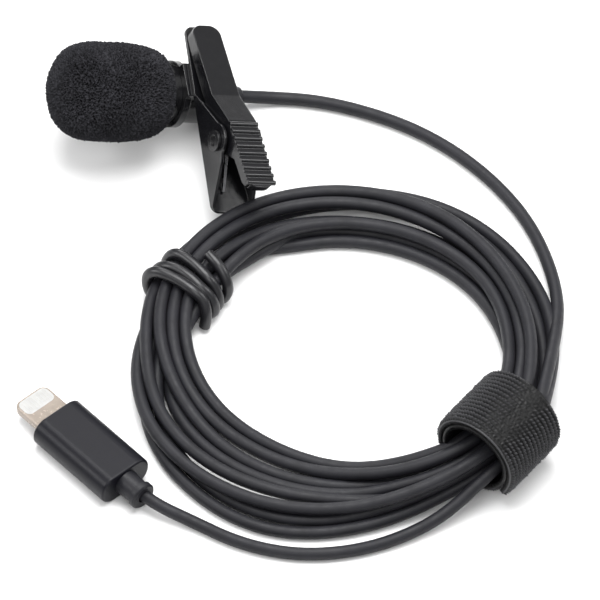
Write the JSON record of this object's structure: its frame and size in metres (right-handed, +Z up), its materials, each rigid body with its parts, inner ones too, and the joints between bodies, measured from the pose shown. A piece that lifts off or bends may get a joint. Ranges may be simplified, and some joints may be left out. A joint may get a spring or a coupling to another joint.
{
  "type": "lavalier microphone",
  "caption": "Clip-on lavalier microphone with a foam windscreen, a sprung lapel clip, and a thin lead coiled in a strap and a tie, ending in a flat phone plug.",
  "frame": {"origin": "on the table, under the middle of the box round the microphone and its clip", "axes": "+X towards the side where the lead leaves the microphone, +Y away from the coil, +Z up from the table"},
  "size_m": [0.089, 0.1019, 0.0213],
  "materials": {
    "black_foam": "open-cell foam, porous and dull",
    "black_barrel": "satin black",
    "perforated_metal": "black, pierced",
    "woven_mesh": "fine woven mesh",
    "capsule_metal": "drawn, plain",
    "membrane_film": "thin metallised film",
    "circuit_board": "solder-masked board",
    "soft_rubber": "soft moulded",
    "wire_jacket": "thin insulation",
    "crimp_metal": "plain",
    "relief_rubber": "moulded, fine matte",
    "lead_jacket": "extruded soft jacket, fine matte",
    "plug_shell": "moulded, fine matte",
    "plug_metal": "satin plated",
    "contact_zone": "white, smooth",
    "contact_gold": "thin pale plating",
    "chip_resin": "moulded resin",
    "hook_tape": "hook-and-loop tape, woven rows",
    "tie_sleeve": "glossy sleeve over wire",
    "clip_enamel": "black, smooth and glossy, rubbed at the edges",
    "rivet_metal": "blackened, spread ends",
    "spring_wire": "dark oiled spring steel"
  },
  "bodies": {
    "microphone": {"mic_barrel": "black_barrel", "front_grille": "perforated_metal", "dust_mesh": "woven_mesh", "capsule_can": "capsule_metal", "capsule_membrane": "membrane_film", "capsule_back_plate": "capsule_metal", "capsule_board": "circuit_board", "capsule_sleeve": "soft_rubber", "lead_wires": "wire_jacket", "cord_crimp": "crimp_metal", "mic_strain_relief": "relief_rubber", "cord_mic_side": "lead_jacket", "cord_coil": "lead_jacket", "cord_plug_side": "lead_jacket", "plug_housing": "plug_shell", "plug_tongue": "plug_metal", "contact_inserts": "contact_zone", "contact_pads": "contact_gold", "plug_board": "circuit_board", "plug_chip": "chip_resin", "plug_strain_relief": "relief_rubber", "hook_loop_strap": "hook_tape", "twist_tie": "tie_sleeve"},
    "windscreen": {"foam_windscreen": "black_foam"},
    "ring": {"ring_holder": "clip_enamel", "holder_rivet": "rivet_metal"},
    "clip": {"clip_base": "clip_enamel", "hinge_pin": "rivet_metal", "clip_spring": "spring_wire"},
    "lever": {"clip_lever": "clip_enamel"}
  },
  "joints": [
    {"name": "windscreen_slide", "type": "slide", "parent": "microphone", "child": "windscreen", "axis": [-0.8654, -0.3014, 0.4003], "range_m": [0, 0.022]},
    {"name": "holder_turn", "type": "hinge", "parent": "microphone", "child": "ring", "pos_m": [0.00332, 0.00859, 0.00682], "axis": [-0.8654, -0.3014, 0.4003], "range_deg": [0, 180]},
    {"name": "clip_swivel", "type": "hinge", "parent": "ring", "child": "clip", "pos_m": [0.00744, 0.0077, 0.01158], "axis": [0.4699, -0.2107, 0.8572], "range_deg": [-25, 0]},
    {"name": "lever_squeeze", "type": "hinge", "parent": "clip", "child": "lever", "pos_m": [0.01189, -0.00536, 0.01135], "axis": [0.8654, 0.3014, -0.4003], "range_deg": [0, 22], "stiffness_Nm_per_rad": 0.02, "springref_deg": -57.3, "deforming": ["clip_spring"]}
  ]
}
